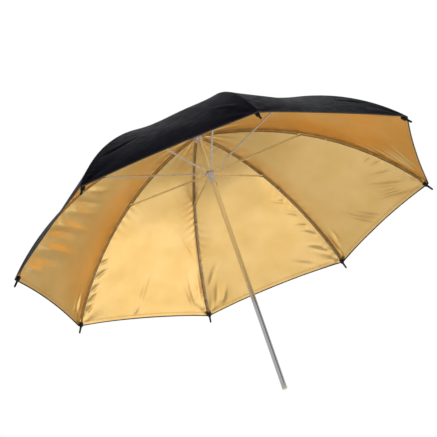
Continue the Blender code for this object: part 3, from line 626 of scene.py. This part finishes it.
def cut_size(panel, first, last):
    """Width, length and area of a piece of cloth as it is cut: flat, with no sag and no folds.

    The length runs along the seam and the width straight across to mid-panel. The rim's
    scallop is part of the cut.
    """
    length = (last - first) * DOME_RADIUS
    widths, drawn_in = [], []
    for angle in (first, last):
        run = run_at(angle)
        width = half_width_at(DOME_RADIUS * sin(angle))
        # a parabola's mean height is two thirds of its peak
        drawn_in.append(2 / 3 * width * SCALLOPS.get(panel, SCALLOP) * run**SCALLOP_LEAN)
        widths.append(width)
    area = length * (widths[0] + widths[1]) / 2 - (drawn_in[1] - drawn_in[0])
    return widths[1], length, area


def make_canopy():
    angles = row_angles()
    cuts = [round((len(angles) - 1) * (step / ZONES)) for step in range(ZONES + 1)]
    for rib in range(1, RIB_COUNT + 1):
        strip = link(f"canopy_seam_{rib}", seam_strip(rib, angles))
        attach(strip, f"rib_{rib}")
        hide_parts(f"canopy_section_{rib}")
        for side, word in ((1, "left"), (-1, "right")):
            for zone, (first, last) in enumerate(zip(cuts, cuts[1:]), 1):
                mesh = half_panel(rib, side, first, last, angles)
                piece = link(f"canopy_gore_{rib}_{word}_{zone}", mesh)
                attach(piece, f"rib_{rib}")
                axis, anchor, keep = fold(rib, side, (angles[first] + angles[last]) / 2)
                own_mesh(piece)
                width, length, area = cut_size(panel_beside(rib, side), angles[first], angles[last])


# ---------------------------------------------------------------- thread and wire

THREAD_RADIUS = 0.00022
TIE_TURNS = 5
KNOT_STEPS = 28
KNOT_DROP = 0.0006  # knot below the turns
KNOT_SIZE = 0.00055
KNOT_SHARE = 0.6
RING_STEPS = 64
TWIST_STEPS = 22
STRAND_APART = 0.00034  # a twisted strand from the twist's middle


def tube(path, radius, sides=6, closed=False):
    """Points and faces of a round tube along a path."""
    path = [Vector(p) for p in path]
    rings = []
    side = None
    count = len(path)
    for i, point in enumerate(path):
        ahead = path[(i + 1) % count] if closed or i < count - 1 else point
        behind = path[i - 1] if closed or i > 0 else point
        along = (ahead - behind).normalized()
        side = along.orthogonal() if side is None else side - along * side.dot(along)
        side.normalize()
        other = along.cross(side)
        rings.append([
            point + radius * (cos(turn) * side + sin(turn) * other)
            for turn in (2 * pi * k / sides for k in range(sides))
        ])
    points = [p for ring in rings for p in ring]
    faces = []
    for i in range(count if closed else count - 1):
        j = (i + 1) % count
        for k in range(sides):
            m = (k + 1) % sides
            faces.append((i * sides + k, i * sides + m, j * sides + m, j * sides + k))
    if not closed:
        faces.append(tuple(reversed(range(sides))))
        faces.append(tuple((count - 1) * sides + k for k in range(sides)))
    return points, faces


def joined(parts):
    points, faces = [], []
    for some_points, some_faces in parts:
        start = len(points)
        points += some_points
        faces += [tuple(i + start for i in face) for face in some_faces]
    return points, faces


def make_ties():
    """White thread round each rib: five turns, a knot and two ends."""
    thread = THREAD_RADIUS
    angle = asin(TIE_RADIUS / PIVOT_ARC)
    side = RIB_WIDTH / 2 + 1.6 * thread
    bottom = -RIB_BOTTOM - 1.6 * thread
    top = RIB_TOP + 0.0004
    corner = 0.0006
    for rib in range(1, RIB_COUNT + 1):
        roll = dice(rib, 7)
        parts = []
        for turn in range(TIE_TURNS):
            shift = (turn - (TIE_TURNS - 1) / 2) * 2.1 * thread
            lean = roll.uniform(-1, 1) * thread
            path = [(-side, top, shift)]
            for step in range(5):
                bend = pi / 2 * step / 4
                path.append((-side + corner * (1 - cos(bend)), bottom + corner * (1 - sin(bend)), shift))
            for step in range(5):
                bend = pi / 2 * step / 4
                across = side - corner * (1 - sin(bend))
                path.append((across, bottom + corner * (1 - cos(bend)), shift + lean))
            path.append((side, top, shift + lean))
            parts.append((path, False))
        knot = []
        for step in range(KNOT_STEPS):
            t = 2 * pi * step / KNOT_STEPS
            knot.append((
                KNOT_SIZE * (sin(t) + 2 * sin(2 * t)) * KNOT_SHARE,
                bottom - KNOT_DROP - 0.00045 * sin(3 * t),
                KNOT_SIZE * (cos(t) - 2 * cos(2 * t)) * KNOT_SHARE,
            ))
        parts.append((knot, True))
        for end in (-1, 1):
            reach = roll.uniform(0.003, 0.005)
            droop = roll.uniform(0.001, 0.002)
            lean = roll.uniform(-0.0015, 0.0015)
            path = [
                (end * reach * s, bottom - KNOT_DROP - droop * s * s, lean * s + 0.0004 * end * sin(4 * s))
                for s in np.linspace(0.05, 1, 9)
            ]
            parts.append((path, False))
        azimuth = PITCH * (rib - 1)
        centre = np.array([PIVOT_ARC * sin(angle), PIVOT_ARC * cos(angle) + CENTRE_Z])
        made = []
        for path, closed in parts:
            placed = []
            for across, height, along in path:
                x = centre[0] + sin(angle) * height + cos(angle) * along
                z = centre[1] + cos(angle) * height - sin(angle) * along
                placed.append(in_row_frame(np.array([x, across, z]), azimuth))
            made.append(tube(placed, thread, 6, closed))
        points, faces = joined(made)
        mesh = mesh_from(f"thread_{rib}", points, faces, [finishes["thread"]])
        piece = link(f"thread_wrap_{rib}", mesh)
        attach(piece, f"rib_{rib}")
        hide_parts(f"thread_tie_{rib}")


def make_runner_wire():
    """The wire in the runner's groove, with its twisted ends."""
    ring = []
    for step in range(RING_STEPS):
        turn = 2 * pi * step / RING_STEPS
        ring.append((HINGE_RADIUS * cos(turn), HINGE_RADIUS * sin(turn), RUNNER_Z))
    parts = [tube(ring, WIRE_RADIUS, 8, True)]
    start = HALF * 3
    for strand in (0, pi):
        twist = []
        for step in range(TWIST_STEPS):
            reach = HINGE_RADIUS + 0.0006 + 0.00012 * step
            turn = strand + step * 0.9
            along = start + step * 0.028
            twist.append((
                reach * cos(along) * 0.97, reach * sin(along) * 0.97,
                RUNNER_Z + STRAND_APART * sin(turn),
            ))
        parts.append(tube(twist, WIRE_RADIUS * 0.8, 6))
    points, faces = joined(parts)
    piece = link("runner_tie_wire", mesh_from("runner_wire", points, faces, [finishes["steel"]]))
    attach(piece, "runner")


# ---------------------------------------------------------------- light, floor and camera

CAMERA_PLACE = (-0.47209, -1.80183, -0.54746)
CAMERA_LOOK = (0.22475, 0.87972, 0.41902)
CAMERA_RIGHT = (0.94977, -0.10167, -0.29597)
CAMERA_LENS = 102.07
OBJECT_CENTRE = Vector((0, 0, 0.33))

LAMPS = {
    # name: (direction from the object, distance, size, power)
    "low_right": ((0.61, -0.06, -0.79), 2.4, 2.4, 15.0),
    "below": ((-0.22, -0.19, -0.96), 2.3, 2.2, 8.5),
    "low_left_back": ((-0.58, 0.55, -0.61), 2.4, 2.0, 3.6),
    "top_left": ((-0.75, -0.35, 0.56), 2.8, 1.4, 5.0),
    "top_back": ((0.20, 0.75, 0.65), 2.8, 2.2, 5.0),
}
WORLD_LIGHT = 0.52
DARK_PATCH = (0.52, -0.745, 0.42)
DARK_SHARE = 0.12  # light left in the patch
DARK_EDGE = (0.88, 0.96)  # the patch's soft edge, as cosines from its middle


def make_lamps():
    for name, (direction, distance, size, power) in LAMPS.items():
        data = bpy.data.lights.new(name, "AREA")
        data.shape = "SQUARE"
        data.size = size
        data.energy = power
        lamp = link(name, data)
        out = Vector(direction).normalized()
        lamp.location = OBJECT_CENTRE + out * distance
        lamp.rotation_mode = "QUATERNION"
        lamp.rotation_quaternion = out.to_track_quat("Z", "Y")
        lamp.visible_camera = False


def make_world():
    """White where it is seen, and a softer grey as light."""
    world = bpy.data.worlds.new("studio")
    world.use_nodes = True
    tree = world.node_tree
    tree.nodes.clear()
    seen = node(tree, "Background", {"Color": (1.0, 1.0, 1.0, 1.0), "Strength": 1.0})
    # a darker patch in front, to the right
    direction = node(tree, "TexCoord").outputs["Generated"]
    towards = node(tree, "VectorMath", {0: direction, 1: DARK_PATCH}, operation="DOT_PRODUCT")
    level = ramp(tree, towards.outputs["Value"], WORLD_LIGHT, WORLD_LIGHT * DARK_SHARE, *DARK_EDGE)
    light = node(tree, "Background", {"Color": (0.97, 0.98, 1.0, 1.0), "Strength": level})
    path = node(tree, "LightPath")
    shares = {0: path.outputs["Is Camera Ray"], 1: light.outputs[0], 2: seen.outputs[0]}
    node(tree, "OutputWorld", {"Surface": node(tree, "MixShader", shares).outputs[0]})
    bpy.context.scene.world = world


def make_floor():
    reach, height = 7.0, -2.2
    mesh = bpy.data.meshes.new("floor")
    corners = [(x * reach, y * reach, height) for x, y in ((-1, -1), (1, -1), (1, 1), (-1, 1))]
    mesh.from_pydata(corners, [], [(0, 1, 2, 3)])
    pale = finish(
        "pale_floor", uneven(solid_place, 2.0, (0.86, 0.86, 0.85), (0.90, 0.90, 0.89)),
        uneven(solid_place, 3.0, 0.6, 0.7),
    )
    mesh.materials.append(pale)
    floor = link("floor", mesh)


def make_camera():
    data = bpy.data.cameras.new("camera")
    data.lens = CAMERA_LENS
    data.clip_start = 0.05
    data.clip_end = 50.0
    camera = link("camera", data)
    back = -Vector(CAMERA_LOOK).normalized()
    right = Vector(CAMERA_RIGHT)
    right = (right - back * right.dot(back)).normalized()
    up = back.cross(right)
    turn = Matrix((right, up, back)).transposed()
    camera.rotation_mode = "QUATERNION"
    camera.rotation_quaternion = turn.to_quaternion()
    camera.location = CAMERA_PLACE
    bpy.context.scene.camera = camera


make_canopy()
make_ties()
make_runner_wire()
make_world()
make_floor()
make_lamps()
make_camera()
bpy.context.scene.view_settings.view_transform = "Standard"
